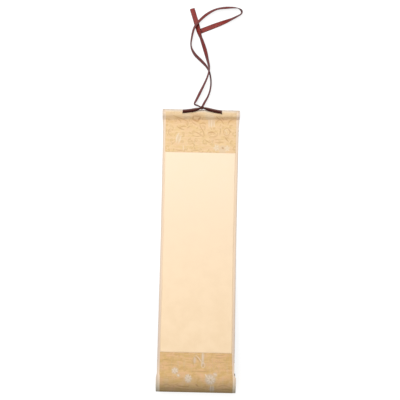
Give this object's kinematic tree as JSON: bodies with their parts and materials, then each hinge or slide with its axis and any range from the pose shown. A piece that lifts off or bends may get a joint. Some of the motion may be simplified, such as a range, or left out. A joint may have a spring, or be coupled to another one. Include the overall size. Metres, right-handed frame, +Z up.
{
  "type": "small blank hanging paper scroll",
  "caption": "Small blank hanging scroll lying unrolled: writing paper between brocade panels, rods in both ends, ribbon loop with tie tails.",
  "frame": {"origin": "on the surface that the scroll lies on, under the middle of the scroll without its ribbons", "axes": "+X across the scroll to the right of its face, +Y along it towards the batten and the ribbons, +Z up out of its face"},
  "size_m": [0.0967, 0.4595, 0.0232],
  "materials": {
    "writing_paper": "matt absorbent paper",
    "brocade": "fine woven gold brocade on paper",
    "edge_paper": "smooth pale paper strip",
    "backing_paper": "pasted mulberry paper",
    "rod_wood": "plain pale wood",
    "ribbon": "maroon satin ribbon"
  },
  "bodies": {
    "root": {"backing_paper": "backing_paper", "writing_paper": "writing_paper", "top_brocade": "brocade", "bottom_brocade": "brocade", "left_edge_strip": "edge_paper", "right_edge_strip": "edge_paper", "top_batten": "rod_wood", "bottom_dowel": "rod_wood", "hanging_ribbon": "ribbon", "tie_ribbon_knot": "ribbon", "tie_ribbon_short_tail": "ribbon", "tie_ribbon_long_tail": "ribbon"}
  },
  "joints": []
}
